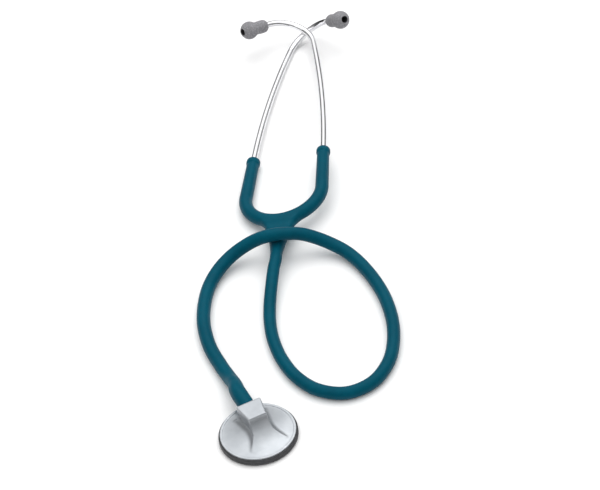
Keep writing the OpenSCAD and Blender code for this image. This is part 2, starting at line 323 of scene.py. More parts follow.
def makeTeal(look):
    finish = Finish("tealRubber", look["deep"], look["meanRoughness"])
    finish.shader.inputs["Specular IOR Level"].default_value = look["gloss"]
    finish.shader.inputs["Specular Tint"].default_value = look["glossTint"]
    skin = finish.add(grain, Per_Metre=look["grainPerMetre"])
    settled = finish.add(dust, Amount=look["dustAmount"])
    worn = finish.add(rubbed, Amount=look["rubbedAmount"])
    blend = mathNode(finish.tree, "MULTIPLY_ADD", skin.outputs["Tone"], look["toneShare"])
    blend.node.inputs[2].default_value = look["baseLight"]
    cloudy = mathNode(finish.tree, "MULTIPLY", skin.outputs["Cloud"], look["cloudShare"])
    tone = finish.mix(mathNode(finish.tree, "ADD", blend, cloudy, True), look["deep"], look["light"])
    tone = finish.mix(worn.outputs["Mask"], tone, look["light"])
    finish.colour(finish.mix(settled.outputs["Mask"], tone, look["dust"]))
    finish.roughness(skin.outputs["Tone"], look["roughness"])
    finish.bump(skin.outputs["Height"], *look["bump"])
    return finish.material


greyRubber = {
    "name": "greyRubber",
    "dark": (0.2, 0.198, 0.21),
    "light": (0.46, 0.455, 0.475),
    "dust": (0.5, 0.5, 0.5),
    "dustAmount": 0.2,
    "meanRoughness": 0.65,
    "roughness": (0.55, 0.75),
    "gloss": 0.3,
    "flecksPerMetre": 1500,
    "fleckShare": 0.32,
    "fleckBump": (0.35, 0.00015),
    "grainPerMetre": 4200,
    "bump": (0.3, 0.00008),
}


def makeGreyRubber(look):
    finish = Finish(look["name"], look["dark"], look["meanRoughness"])
    finish.shader.inputs["Specular IOR Level"].default_value = look["gloss"]
    flecks = finish.add(speckle, Per_Metre=look["flecksPerMetre"], Share=look["fleckShare"])
    skin = finish.add(grain, Per_Metre=look["grainPerMetre"])
    settled = finish.add(dust, Amount=look["dustAmount"])
    tone = finish.mix(flecks.outputs["Mask"], look["dark"], look["light"])
    finish.colour(finish.mix(settled.outputs["Mask"], tone, look["dust"]))
    finish.roughness(skin.outputs["Tone"], look["roughness"])
    first = finish.bump(flecks.outputs["Height"], *look["fleckBump"])
    finish.bump(skin.outputs["Height"], *look["bump"], first)
    return finish.material


polishedTube = {
    "base": (0.83, 0.83, 0.85),
    "dull": (0.6, 0.6, 0.62),
    "meanRoughness": 0.1,
    "roughness": (0.07, 0.2),
    "grainPerMetre": 1500,
    "hairlinesPerMetre": 1100,
    "hairlineShare": 0.35,
    "dullShare": 0.35,
    "bump": (0.06, 0.00004),
}


def makePolished(look):
    finish = Finish("polishedTube", look["base"], look["meanRoughness"], 1.0)
    skin = finish.add(grain, Per_Metre=look["grainPerMetre"])
    marks = finish.add(hairlines, Per_Metre=look["hairlinesPerMetre"])
    smudge = mathNode(finish.tree, "MULTIPLY", skin.outputs["Tone"], skin.outputs["Cloud"])
    haze = mathNode(finish.tree, "MULTIPLY_ADD", marks.outputs["Mask"], look["hairlineShare"])
    finish.tree.links.new(smudge, haze.node.inputs[2])
    dulled = mathNode(finish.tree, "MULTIPLY", haze, look["dullShare"])
    finish.colour(finish.mix(dulled, look["base"], look["dull"]))
    finish.roughness(haze, look["roughness"])
    finish.bump(skin.outputs["Height"], *look["bump"])
    return finish.material


castMetal = {
    "base": (0.36, 0.382, 0.405),
    "light": (0.42, 0.442, 0.465),
    # lighter rubbed edges: real wear, and on the rounded lip also a painted highlight line
    "rubbedTo": (0.66, 0.68, 0.7),
    "rubbedAmount": 0.6,
    "dust": (0.5, 0.5, 0.5),
    "dustAmount": 0.12,
    "meanRoughness": 0.36,
    "roughness": (0.32, 0.44),
    "metallic": 0.6,
    "grainPerMetre": 5200,
    "hairlinesPerMetre": 500,
    "hairlineShare": 0.3,
    "bump": (0.22, 0.00005),
}


def makeCastMetal(look):
    finish = Finish("satinCastMetal", look["base"], look["meanRoughness"], look["metallic"])
    skin = finish.add(grain, Per_Metre=look["grainPerMetre"])
    settled = finish.add(dust, Amount=look["dustAmount"])
    worn = finish.add(rubbed, Amount=look["rubbedAmount"])
    marks = finish.add(hairlines, Per_Metre=look["hairlinesPerMetre"])
    tone = finish.mix(skin.outputs["Cloud"], look["base"], look["light"])
    # the rubbed-edge lightening is partly wear and partly a painted highlight along the lip
    tone = finish.mix(worn.outputs["Mask"], tone, look["rubbedTo"])
    finish.colour(finish.mix(settled.outputs["Mask"], tone, look["dust"]))
    spread = mathNode(finish.tree, "MULTIPLY_ADD", marks.outputs["Mask"], look["hairlineShare"])
    finish.tree.links.new(skin.outputs["Tone"], spread.node.inputs[2])
    finish.roughness(spread, look["roughness"], 1 + look["hairlineShare"])
    finish.bump(skin.outputs["Height"], *look["bump"])
    return finish.material


turnedSteel = {
    "base": (0.62, 0.62, 0.64),
    "dark": (0.42, 0.42, 0.44),
    "meanRoughness": 0.3,
    "roughness": (0.22, 0.42),
    "grainPerMetre": 2600,
    "hairlinesPerMetre": 2400,
    "bump": (0.1, 0.00003),
}


def makeSteel(look):
    finish = Finish("turnedSteel", look["base"], look["meanRoughness"], 1.0)
    skin = finish.add(grain, Per_Metre=look["grainPerMetre"])
    marks = finish.add(hairlines, Per_Metre=look["hairlinesPerMetre"])
    finish.colour(finish.mix(skin.outputs["Cloud"], look["base"], look["dark"]))
    finish.roughness(marks.outputs["Mask"], look["roughness"])
    finish.bump(marks.outputs["Mask"], *look["bump"])
    return finish.material


charcoalRubber = {
    "dark": (0.022, 0.023, 0.025),
    "light": (0.05, 0.051, 0.055),
    "rubbedTo": (0.13, 0.13, 0.135),
    "rubbedAmount": 0.7,
    "dust": (0.3, 0.3, 0.3),
    "dustAmount": 0.3,
    "meanRoughness": 0.5,
    "roughness": (0.42, 0.6),
    "grainPerMetre": 3600,
    "bump": (0.3, 0.00006),
}


def makeCharcoal(look):
    finish = Finish("charcoalRubber", look["dark"], look["meanRoughness"])
    skin = finish.add(grain, Per_Metre=look["grainPerMetre"])
    settled = finish.add(dust, Amount=look["dustAmount"])
    worn = finish.add(rubbed, Amount=look["rubbedAmount"])
    tone = finish.mix(skin.outputs["Tone"], look["dark"], look["light"])
    tone = finish.mix(worn.outputs["Mask"], tone, look["rubbedTo"])
    finish.colour(finish.mix(settled.outputs["Mask"], tone, look["dust"]))
    finish.roughness(skin.outputs["Cloud"], look["roughness"])
    finish.bump(skin.outputs["Height"], *look["bump"])
    return finish.material


paleSheet = {
    "base": (0.66, 0.67, 0.64),
    "dark": (0.52, 0.53, 0.5),
    "meanRoughness": 0.42,
    "roughness": (0.34, 0.5),
    "grainPerMetre": 2800,
    "weaveScale": 420,
    "weaveTurn": 0.3,
    "weaveDistortion": 0.6,
    "weaveShare": 0.4,
    "cloudShare": 0.5,
    "bump": (0.2, 0.00004),
}


def makePaleSheet(look):
    # the diaphragm: a filled resin sheet, with the faint crossed weave of its glass cloth
    finish = Finish("diaphragmSheet", look["base"], look["meanRoughness"])
    skin = finish.add(grain, Per_Metre=look["grainPerMetre"])
    place = finish.tree.nodes.new("ShaderNodeTexCoord")
    waves = []
    for turn in (0, math.pi / 2):
        mapping = finish.tree.nodes.new("ShaderNodeMapping")
        mapping.inputs["Rotation"].default_value = (0, 0, turn + look["weaveTurn"])
        wave = finish.tree.nodes.new("ShaderNodeTexWave")
        wave.inputs["Scale"].default_value = look["weaveScale"]
        wave.inputs["Distortion"].default_value = look["weaveDistortion"]
        finish.tree.links.new(place.outputs["Object"], mapping.inputs["Vector"])
        finish.tree.links.new(mapping.outputs["Vector"], wave.inputs["Vector"])
        waves.append(wave.outputs["Fac"])
    weave = mathNode(finish.tree, "MULTIPLY", *waves)
    cloudy = mathNode(finish.tree, "MULTIPLY_ADD", weave, look["weaveShare"])
    cloud = mathNode(finish.tree, "MULTIPLY", skin.outputs["Cloud"], look["cloudShare"])
    finish.tree.links.new(cloud, cloudy.node.inputs[2])
    finish.colour(finish.mix(cloudy, look["base"], look["dark"]))
    finish.roughness(skin.outputs["Tone"], look["roughness"])
    finish.bump(weave, *look["bump"])
    return finish.material


corePlastic = {
    "base": (0.72, 0.72, 0.69),
    "dark": (0.58, 0.58, 0.55),
    "meanRoughness": 0.45,
    "roughness": (0.38, 0.52),
    "grainPerMetre": 3000,
    "bump": (0.15, 0.00005),
}


def makeCorePlastic(look):
    finish = Finish("corePlastic", look["base"], look["meanRoughness"])
    skin = finish.add(grain, Per_Metre=look["grainPerMetre"])
    finish.colour(finish.mix(skin.outputs["Cloud"], look["base"], look["dark"]))
    finish.roughness(skin.outputs["Tone"], look["roughness"])
    finish.bump(skin.outputs["Height"], *look["bump"])
    return finish.material


teal, grey, polished = makeTeal(tealRubber), makeGreyRubber(greyRubber), makePolished(polishedTube)
cast, steel, charcoal = makeCastMetal(castMetal), makeSteel(turnedSteel), makeCharcoal(charcoalRubber)
sheetLook, coreLook = makePaleSheet(paleSheet), makeCorePlastic(corePlastic)
print("materials ready")


# the headset's own frame: origin at the stem's end, y along the yoke, x across, z out of its plane

headset = {
    "at": (0.0282, 0.1513, 0.0105),
    "heading": 79.3,
    "pitch": -1,
    "roll": 9,
}
headsetFrame = (
    moved(*headset["at"]) @ turned(headset["heading"] - 90, "Z")
    @ turned(headset["pitch"], "X") @ turned(-headset["roll"], "Y")
)


# swept tubes

def sweep(name, path, outer, inner, sides):
    # a hollow tube whose outer and inner radius follow the path, closed at both ends
    path = np.array(path, float)
    along = unit(np.gradient(path, axis=0))
    across = np.zeros_like(path)
    across[0] = unit(np.cross(along[0], (0, 0, 1)))
    for i in range(1, len(path)):
        carried = across[i - 1] - along[i] * across[i - 1].dot(along[i])
        across[i] = unit(carried)
    third = np.cross(across, along)
    turn = np.linspace(0, 2 * math.pi, sides, endpoint=False)
    circle = (
        across[:, None, :] * np.cos(turn)[None, :, None]
        + third[:, None, :] * np.sin(turn)[None, :, None]
    )
    skins = [path[:, None, :] + circle * np.array(r)[:, None, None] for r in (outer, inner)]
    points = np.concatenate([s.reshape(-1, 3) for s in skins])
    count, half = len(path), len(path) * sides
    faces = []
    for j in range(count - 1):
        for k in range(sides):
            a, b = j * sides + k, j * sides + (k + 1) % sides
            faces.append((a, b, b + sides, a + sides))
            faces.append((half + a, half + a + sides, half + b + sides, half + b))
    for k in range(sides):
        a, b = k, (k + 1) % sides
        faces.append((b, a, half + a, half + b))
        a, b = (count - 1) * sides + a, (count - 1) * sides + b
        faces.append((a, b, half + b, half + a))
    return newPiece(name, points, faces)


# tubing: a free tube from the yoke's stem to the chestpiece

tubing = {
    "topDiameter": 0.008,
    "bottomDiameter": 0.0092,
    "stretchedDiameter": 0.0104,  # where it is pushed over the chestpiece's stem
    "bore": 0.0046,
    "stretchedBore": 0.0062,
    "sides": 48,
    "stepsPerPoint": 8,
    "length": 0.54,
    "straightOut": 0.006,
    "straightIn": 0.016,
    "crossingGap": 0.00035,
    "tableGap": 0.00002,
    "stretchStart": 3.2,  # in points before the end
    "stretchLength": 1.4,
    "barbs": (0.0045, 0.0085, 0.0125),  # they show faintly through
    "barbSwelling": 0.00009,
    "barbSpread": 0.0011,
    "cutEdge": [(0.0004, 0), (0.00022, 0.00006), (0.00008, 0.0002), (0, 0.00042)],
    # x, y and the share of the lift at that place
    "descent": [(0.025, 0.139, 0.84), (0.0216, 0.124, 0.5), (0.0188, 0.109, 0.2), (0.0174, 0.094, 0.03)],
    "loop": [
        (0.018, 0.078, 0), (0.0215, 0.06, 0), (0.029, 0.042, 0), (0.041, 0.028, 0),
        (0.058, 0.0213, 0), (0.075, 0.0265, 0), (0.087, 0.041, 0), (0.093, 0.059, 0),
        (0.095, 0.08, 0), (0.0925, 0.104, 0), (0.085, 0.1285, 0), (0.075, 0.1465, 0.09),
        (0.062, 0.157, 0.33), (0.048, 0.1605, 0.75), (0.036, 0.1603, 0.98), (0.025, 0.161, 0.97),
        (0.013, 0.1626, 0.66), (0, 0.1595, 0.31), (-0.011, 0.15, 0.12), (-0.019, 0.136, 0.03),
        (-0.0235, 0.119, 0), (-0.025, 0.101, 0), (-0.0228, 0.081, 0), (-0.0175, 0.063, 0),
    ],
    "rise": [(-0.013, 0.0495, 0.2), (-0.0102, 0.039, 0.7)],
}

chestpiece = {
    "heading": 109,
    "blockShift": 0.0013,
    "blockEnd": 0.014,
    "stemHeight": 0.0124,
    "yokeDepth": 0.009,
}
blockFrame = turned(chestpiece["heading"], "Z") @ moved(0, -chestpiece["blockShift"], 0)


def tubingRoute(t):
    # the listed points, each at its own height above the table
    away = headsetFrame.to_3x3() @ Vector((0, -1, 0))
    start = Vector(headset["at"])
    inward = blockFrame.to_3x3() @ Vector((1, 0, 0))
    entry = blockFrame @ Vector((chestpiece["blockEnd"], 0, chestpiece["stemHeight"]))
    laid = t["descent"] + t["loop"] + t["rise"]
    count = len(laid) + 4
    lifts = (
        [start.z - t["topDiameter"] / 2] * len(t["descent"])
        + [start.z + chestpiece["yokeDepth"] / 2 + t["crossingGap"]] * len(t["loop"])
        + [chestpiece["stemHeight"] - t["bottomDiameter"] / 2] * len(t["rise"])
    )
    points = [start, start + t["straightOut"] * away]
    for i, ((x, y, share), lift) in enumerate(zip(laid, lifts)):
        points.append(Vector((x, y, tubingRadius(t, i + 2, count) + share * lift)))
    return points + [entry + t["straightIn"] * inward, entry]


def tubingRadius(t, i, count):
    return (t["topDiameter"] + (t["bottomDiameter"] - t["topDiameter"]) * i / (count - 1)) / 2


def makeTubing(t):
    points = [np.array(p) for p in tubingRoute(t)]
    count = len(points)
    path, index = [], []
    for i in range(count - 1):
        a, b = points[max(i - 1, 0)], points[i]
        c, d = points[i + 1], points[min(i + 2, count - 1)]
        for k in range(t["stepsPerPoint"]):
            s = k / t["stepsPerPoint"]
            p = 0.5 * (2 * b + (c - a) * s + (2 * a - 5 * b + 4 * c - d) * s ** 2
                       + (3 * b - a - 3 * c + d) * s ** 3)
            path.append(p)
            index.append(i + s)
    path.append(points[-1])
    index.append(count - 1)
    index = np.array(index)
    path = np.array(path)
    stretch = np.clip((index - (count - t["stretchStart"])) / t["stretchLength"], 0, 1)
    stretch = stretch ** 2 * (3 - 2 * stretch)
    radius = tubingRadius(t, index, count)
    radius = radius + (t["stretchedDiameter"] / 2 - radius) * stretch
    reach = np.linalg.norm(path - path[-1], axis=1)
    for place in t["barbs"]:
        radius = radius + t["barbSwelling"] * np.exp(-((reach - place) / t["barbSpread"]) ** 2)
    bore = t["bore"] / 2 + (t["stretchedBore"] - t["bore"]) / 2 * stretch
    path[:, 2] = np.maximum(path[:, 2], radius + t["tableGap"])
    along = unit(path[-1] - path[-2])
    rounded = t["cutEdge"]
    path = np.concatenate([path[:-1], [path[-1] - along * back for back, _ in rounded]])
    radius = np.concatenate([radius[:-1], [radius[-1] - lost for _, lost in rounded]])
    bore = np.concatenate([bore[:-1], [bore[-1]] * len(rounded)])
    piece = sweep("tubing_hose", path, radius, bore, t["sides"])
    finished(piece, teal, "frame", ["tubing"])


makeTubing(tubing)
print("tubing ready")


# skins drawn round a field of distances, in millimetres

def softMin(a, b, reach):
    h = np.clip(0.5 + 0.5 * (b - a) / reach, 0, 1)
    return b + (a - b) * h - reach * h * (1 - h)


def softMax(a, b, reach):
    return -softMin(-a, -b, reach)


def fieldSlope(field, points):
    step = 0.01
    return np.stack([
        (field(points + step * axis) - field(points - step * axis)) / (2 * step)
        for axis in np.eye(3)
    ], axis=1)


def settle(field, points, rounds=3):
    for _ in range(rounds):
        slope = fieldSlope(field, points)
        points = points - (field(points) / np.maximum((slope ** 2).sum(1), 0.05))[:, None] * slope
    return points


def drawSkin(field, low, high, step, relax=8):
    # one point in each cell that the surface passes through, joined across the cells' edges
    low = np.array(low, float)
    count = np.ceil((np.array(high) - low) / step).astype(int) + 1
    axes = [low[k] + step * np.arange(count[k]) for k in range(3)]
    grid = np.stack(np.meshgrid(*axes, indexing="ij"), axis=-1)
    value = field(grid.reshape(-1, 3)).reshape(count)
    total, hits = np.zeros((*(count - 1), 3)), np.zeros(count - 1)
    crossings = []
    for axis in range(3):
        near = [slice(None)] * 3
        far = [slice(None)] * 3
        near[axis], far[axis] = slice(0, -1), slice(1, None)
        a, b = value[tuple(near)], value[tuple(far)]
        crossed = (a < 0) != (b < 0)
        place = grid[tuple(near)].copy()
        place[..., axis] += np.where(crossed, a / np.where(crossed, a - b, 1), 0) * step
        one, two = (axis + 1) % 3, (axis + 2) % 3
        for i in (0, 1):
            for j in (0, 1):
                part = [slice(None)] * 3
                part[one] = slice(i, i + count[one] - 1)
                part[two] = slice(j, j + count[two] - 1)
                total += np.where(crossed[..., None], place, 0)[tuple(part)]
                hits += crossed[tuple(part)]
        crossings.append((axis, one, two, crossed, a < 0))
    used = hits > 0
    number = np.full(used.shape, -1)
    number[used] = np.arange(used.sum())
    points = total[used] / hits[used][:, None]
    faces = []
    for axis, one, two, crossed, inside in crossings:
        at = np.argwhere(crossed)
        keep = (at[:, one] > 0) & (at[:, two] > 0)
        keep &= (at[:, one] < count[one] - 1) & (at[:, two] < count[two] - 1)
        at = at[keep]
        outward = inside[tuple(at.T)]
        corners = []
        for i, j in ((1, 1), (0, 1), (0, 0), (1, 0)):
            cell = at.copy()
            cell[:, one] -= i
            cell[:, two] -= j
            corners.append(number[tuple(cell.T)])
        quads = np.stack(corners, axis=1)
        quads[~outward] = quads[~outward][:, ::-1]
        faces.append(quads)
    faces = np.concatenate(faces)
    points = settle(field, points)
    ends = np.concatenate([faces[:, [k, (k + 1) % 4]] for k in range(4)])
    ends = np.concatenate([ends, ends[:, ::-1]])
    degree = np.maximum(np.bincount(ends[:, 0], minlength=len(points)), 1)[:, None]
    for _ in range(relax):
        mean = np.stack([
            np.bincount(ends[:, 0], points[ends[:, 1], k], minlength=len(points)) for k in range(3)
        ], axis=1) / degree
        points = settle(field, points + 0.6 * (mean - points), 1)
    points = settle(field, points, 2)
    return points, faces


def cutAcross(points, faces, planes):
    # keeps the side that each plane's normal points to, and closes the cut
    mesh = bmesh.new()
    corners = [mesh.verts.new(p) for p in points]
    for face in faces:
        mesh.faces.new([corners[i] for i in face])
    for place, normal in planes:
        everything = mesh.verts[:] + mesh.edges[:] + mesh.faces[:]
        cut = bmesh.ops.bisect_plane(
            mesh, geom=everything, dist=1e-4, plane_co=place, plane_no=normal, clear_inner=True
        )["geom_cut"]
        rim = [e for e in cut if isinstance(e, bmesh.types.BMEdge) and e.is_boundary]
        bmesh.ops.triangle_fill(mesh, edges=rim, use_beauty=True, normal=[-n for n in normal])
    bmesh.ops.recalc_face_normals(mesh, faces=mesh.faces[:])
    mesh.verts.ensure_lookup_table()
    mesh.verts.index_update()
    newPoints = np.array([v.co for v in mesh.verts])
    newFaces = [[v.index for v in f.verts] for f in mesh.faces]
    mesh.free()
    return newPoints, newFaces


def fieldPiece(name, field, points, faces, matrix):
    # millimetres in the piece's own frame become metres on the table; cut faces stay flat
    slope = unit(fieldSlope(field, points))
    corners = placed(points, matrix @ Matrix.Scale(mm, 4))
    mesh = bpy.data.meshes.new(name)
    mesh.from_pydata([tuple(p) for p in corners], [], [tuple(f) for f in faces])
    turn = np.array(matrix.to_3x3())
    worldSlope = slope @ turn.T
    normals = []
    for face in mesh.polygons:
        face.use_smooth = True
        own = np.array(face.normal)
        for i in face.vertices:
            close = worldSlope[i].dot(own) > 0.5
            normals.append(tuple(worldSlope[i]) if close else tuple(own))
    mesh.normals_split_custom_set(normals)
    piece = bpy.data.objects.new(name, mesh)
    scene.collection.objects.link(piece)
    return piece


# yoke: a hollow moulded U with a web down to its stem

yoke = {
    "radius": 26.6,
    "bottomDiameter": 9.0,
    "stemDiameter": 8.0,
    "armDiameter": 8.3,
    "armLength": 38.0,
    "toe": 2.8,
    "junctionLength": 34.4,
    "beadDiameter": 9.5,
    "beadLength": 4.8,
    "beadRounding": 1.5,
    "webReach": 4.5,
    "webThinning": 0.9,
    "thinnedBelow": 6,
    "webFlare": 7.6,
    "webFlarePower": 1.5,
    "flaredBelow": 3,
    "webTop": 1.5,
    "beadReach": 0.9,
    "innerReach": 0.5,
    "lumenRadius": 2.35,
    "boreRadius": 2.3,
    "bendStretch": (4, 54),  # degrees from the U's lowest point
    "meshStep": 0.55,
    "gridStart": (-1.3, -2.2, -6.2),
    "gridTop": 6.2,
    "gridMargins": (2, 4),
}


def yokeArm(y, points):
    # for the right side: distance along the arm past the U, and across its middle line
    toe = math.radians(y["toe"])
    middle = y["junctionLength"] + y["radius"]
    x, v = np.abs(points[:, 0]), points[:, 1] - middle
    startX, startY = y["radius"] * math.cos(toe), y["radius"] * math.sin(toe)
    along = -(x - startX) * math.sin(toe) + (v - startY) * math.cos(toe)
    across = (x - startX) * math.cos(toe) + (v - startY) * math.sin(toe)
    return along, np.where(along > 0, across, np.hypot(x, v) - y["radius"])


def yokeField(points):
    y = yoke
    x, v, z = np.abs(points[:, 0]), points[:, 1], points[:, 2]
    along, across = yokeArm(y, points)
    down = np.clip(v / (y["junctionLength"] - y["thinnedBelow"]), 0, 1)
    down = down ** 2 * (3 - 2 * down)
    taper = np.clip(along / (y["armLength"] - y["beadLength"] / 2), 0, 1)
    thick = (y["bottomDiameter"] + (y["armDiameter"] - y["bottomDiameter"]) * taper) / 2
    band = np.maximum(np.abs(across) - thick, along - y["armLength"] + y["beadLength"] / 2)
    flare = np.clip(v / (y["junctionLength"] - y["flaredBelow"]), 0, 1) ** y["webFlarePower"]
    wide = y["stemDiameter"] / 2 + y["webFlare"] * flare
    web = np.maximum(x - wide, v - y["junctionLength"] + y["webTop"])
    thin = y["stemDiameter"] / 2 - y["webThinning"] * down
    solid = softMin(
        np.hypot(np.maximum(band + thick, 0), z) - thick,
        np.hypot(np.maximum(web + thin, 0), z) - thin, y["webReach"]
    )
    ring = np.hypot(across, z)
    q = np.stack([
        ring - y["beadDiameter"] / 2 + y["beadRounding"],
        np.abs(along - y["armLength"] + y["beadLength"] / 2) - y["beadLength"] / 2 + y["beadRounding"],
    ])
    bead = np.hypot(*np.maximum(q, 0)) + np.minimum(q.max(0), 0) - y["beadRounding"]
    solid = softMin(solid, bead, y["beadReach"])
    lumen = ring - y["lumenRadius"]
    stem = np.maximum(np.hypot(x, z) - y["boreRadius"], v - y["junctionLength"])
    return softMax(solid, -softMin(lumen, stem, y["innerReach"]), y["innerReach"])


def makeYoke(y):
    sideMargin, topMargin = y["gridMargins"]
    top = y["junctionLength"] + y["radius"] + y["armLength"] + topMargin
    side = y["radius"] + y["bottomDiameter"] / 2 + sideMargin
    points, faces = drawSkin(yokeField, y["gridStart"], (side, top, y["gridTop"]), y["meshStep"])
    points, faces = cutAcross(points, faces, [((0, 0, 0), (1, 0, 0)), ((0, 0, 0), (0, 1, 0))])
    for sign, hand in sides:
        own = points * (sign, 1, 1)
        ownFaces = faces if sign > 0 else [f[::-1] for f in faces]
        piece = fieldPiece("yoke_" + hand, yokeField, own, ownFaces, headsetFrame)
        finished(piece, teal, nodes=["yoke"])
        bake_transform(piece)


makeYoke(yoke)
print("yoke ready")


# spring leaves: two strips side by side inside the yoke

springLeaves = {
    "thickness": 0.5,
    "width": 3.84,
    "gap": 0.05,
    "outerEnd": 16.8,
    "innerEnd": 15.8,
    "arcSteps": 60,
    "endSteps": 14,
}


def makeLeaf(s, hand, sign, name, offset, end):
    y, body = yoke, hand + "_ear"
    middle, toe = y["junctionLength"] + y["radius"], math.radians(y["toe"])
    line = []
    for a in np.linspace(-math.pi / 2, toe, s["arcSteps"]):
        out = np.array((math.cos(a), math.sin(a)))
        line.append((y["radius"] * out + (0, middle), out))
    start, out = line[-1]
    for t in np.linspace(0, end, s["endSteps"])[1:]:
        line.append((start + t * np.array((-math.sin(toe), math.cos(toe))), out))
    half = s["width"] / 2
    points = []
    for place, out in line:
        for across, height in ((0, -half), (s["thickness"], -half), (s["thickness"], half), (0, half)):
            flat = place + out * (offset + across)
            points.append((sign * flat[0], flat[1], height))
    faces = [(3, 2, 1, 0)]
    for j in range(len(line) - 1):
        for k in range(4):
            a, b = 4 * j + k, 4 * j + (k + 1) % 4
            faces.append((a, b, b + 4, a + 4))
    last = 4 * (len(line) - 1)
    faces.append((last, last + 1, last + 2, last + 3))
    if sign < 0:
        faces = [f[::-1] for f in faces]
    piece = newPiece(f"{name}_{hand}", placed(points, headsetFrame @ Matrix.Scale(mm, 4)), faces)
    finished(piece, steel, nodes=[name])
    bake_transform(piece)


def makeLeaves(s):
    for sign, hand in sides:
        makeLeaf(s, hand, sign, "spring_leaf_outer", s["gap"], s["outerEnd"])
        makeLeaf(s, hand, sign, "spring_leaf_inner", -s["gap"] - s["thickness"], s["innerEnd"])


makeLeaves(springLeaves)
print("spring leaves ready")


# ear tubes: bent metal tubes from inside the yoke's arms to the tips

earTube = {
    "diameter": 0.0046,
    "wall": 0.0007,
    "insert": 0.02,
    "run": 0.1195,
    "runRadius": 0.71,
    "runTail": 0.006,
    "bendRadius": 0.0203,
    "bendAngle": 118,
    "bendTilt": 25,
    "beyondBend": 0.0105,
    "crossGap": 0.0009,
    "edgeRounding": 0.00025,
    "insertSteps": 9,
    "runSteps": 60,
    "tailShares": (0.33, 0.67),
    "bendSteps": 64,
    "endSteps": 8,
    "sides": 40,
}


def earChain(e, sign):
    # the collar's frame, and the frames at any share of the long run and of the bend
    roll = sign * math.degrees(math.asin(
        (e["diameter"] + e["crossGap"]) * e["runRadius"] / e["run"] ** 2
    ))
    angle = math.degrees((e["run"] - e["runTail"]) / e["runRadius"])
    collar = (
        moved(0, (yoke["junctionLength"] + yoke["radius"]) * mm, 0) @ turned(yoke["toe"], "Z")
        @ moved(yoke["radius"] * mm, yoke["armLength"] * mm, 0)
    )
    mirror = Matrix.Scale(-1, 4, (1, 0, 0)) if sign < 0 else Matrix.Identity(4)
    base = headsetFrame @ mirror @ collar
    long = e["runRadius"]

    def onRun(share):
        return (base @ turned(roll, "Y") @ moved(-long, 0, 0) @ turned(angle * share, "Z")
                @ moved(long, 0, 0) @ turned(-roll, "Y"))

    tail = onRun(1) @ moved(0, e["runTail"], 0) @ turned(e["bendTilt"], "Y")

    def onBend(share):
        return (tail @ moved(-e["bendRadius"], 0, 0) @ turned(e["bendAngle"] * share, "Z")
                @ moved(e["bendRadius"], 0, 0))

    return base, onRun, onBend


def makeEarTube(e, hand, sign):
    base, onRun, onBend = earChain(e, sign)
    path = [base @ Vector((0, -e["insert"] * s, 0)) for s in np.linspace(1, 0, e["insertSteps"])[:-1]]
    path += [onRun(s).translation for s in np.linspace(0, 1, e["runSteps"])]
    path += [onRun(1) @ Vector((0, e["runTail"] * s, 0)) for s in e["tailShares"]]
    path += [onBend(s).translation for s in np.linspace(0, 1, e["bendSteps"])]
    beyond = np.linspace(0, e["beyondBend"], e["endSteps"])[1:]
    path += [onBend(1) @ Vector((0, far, 0)) for far in beyond]
    outer = np.full(len(path), e["diameter"] / 2)
    outer[[0, -1]] -= e["edgeRounding"]
    inner = np.full(len(path), e["diameter"] / 2 - e["wall"])
    piece = sweep("ear_tube_" + hand + "_bent", path, outer, inner, e["sides"])
    finished(piece, polished, hand + "_ear", ["ear_tube_" + hand])


for sign, hand in sides:
    makeEarTube(earTube, hand, sign)
print("ear tubes ready")


# turned pieces

def lathe(name, profile, segments, matrix, sharpAngle=35):
    # profile: radius and height, going round the section so that the outside is on the right
    ring = len(profile)
    turn = np.linspace(0, 2 * math.pi, segments, endpoint=False)
    section = np.array(profile, float)
    points = np.stack([
        np.outer(np.cos(turn), section[:, 0]),
        np.outer(np.sin(turn), section[:, 0]),
        np.tile(section[:, 1], (segments, 1)),
    ], axis=-1).reshape(-1, 3)
    faces = []
    for j in range(segments):
        for k in range(ring):
            a, b = j * ring + k, j * ring + (k + 1) % ring
            c, d = ((j + 1) % segments) * ring + (k + 1) % ring, ((j + 1) % segments) * ring + k
            faces.append((a, d, c, b))
    return newPiece(name, placed(points, matrix @ Matrix.Scale(mm, 4)), faces, sharpAngle=sharpAngle)


def arc(x, y, r, start, end, count=7):
    angles = np.radians(np.linspace(start, end, count))
    return [(x + r * math.cos(a), y + r * math.sin(a)) for a in angles]


# ear tips: soft mushroom tips with a flared mouth

earTip = {
    "bulbDiameter": 12.7,
    "neckDiameter": 9.4,
    "length": 20.0,
    "mouthDiameter": 4.8,
    "bore": 3.2,
    "socketRadius": 3.24,
    "socketDepth": 10.0,
    "waistSoftness": 1.6,
    "domeShift": 0.5,
    "neckInset": 0.3,
    "neckPower": 4,  # above 2, its end is squarer than a round one
    "neckTaper": 0.05,
    "seat": 3.0,
    "segments": 72,
}

# painted shade: a near-black rubber for the faces inside each tip's bore and socket, standing in for the
# shadow in the hole
tipBorePaintedShade = {
    **greyRubber,
    "name": "boreRubberPaintedShade",
    "dark": (0.02, 0.02, 0.021),
    "light": (0.05, 0.05, 0.052),
    "roughness": (0.6, 0.8),
}
boreShadeLook = makeGreyRubber(tipBorePaintedShade)


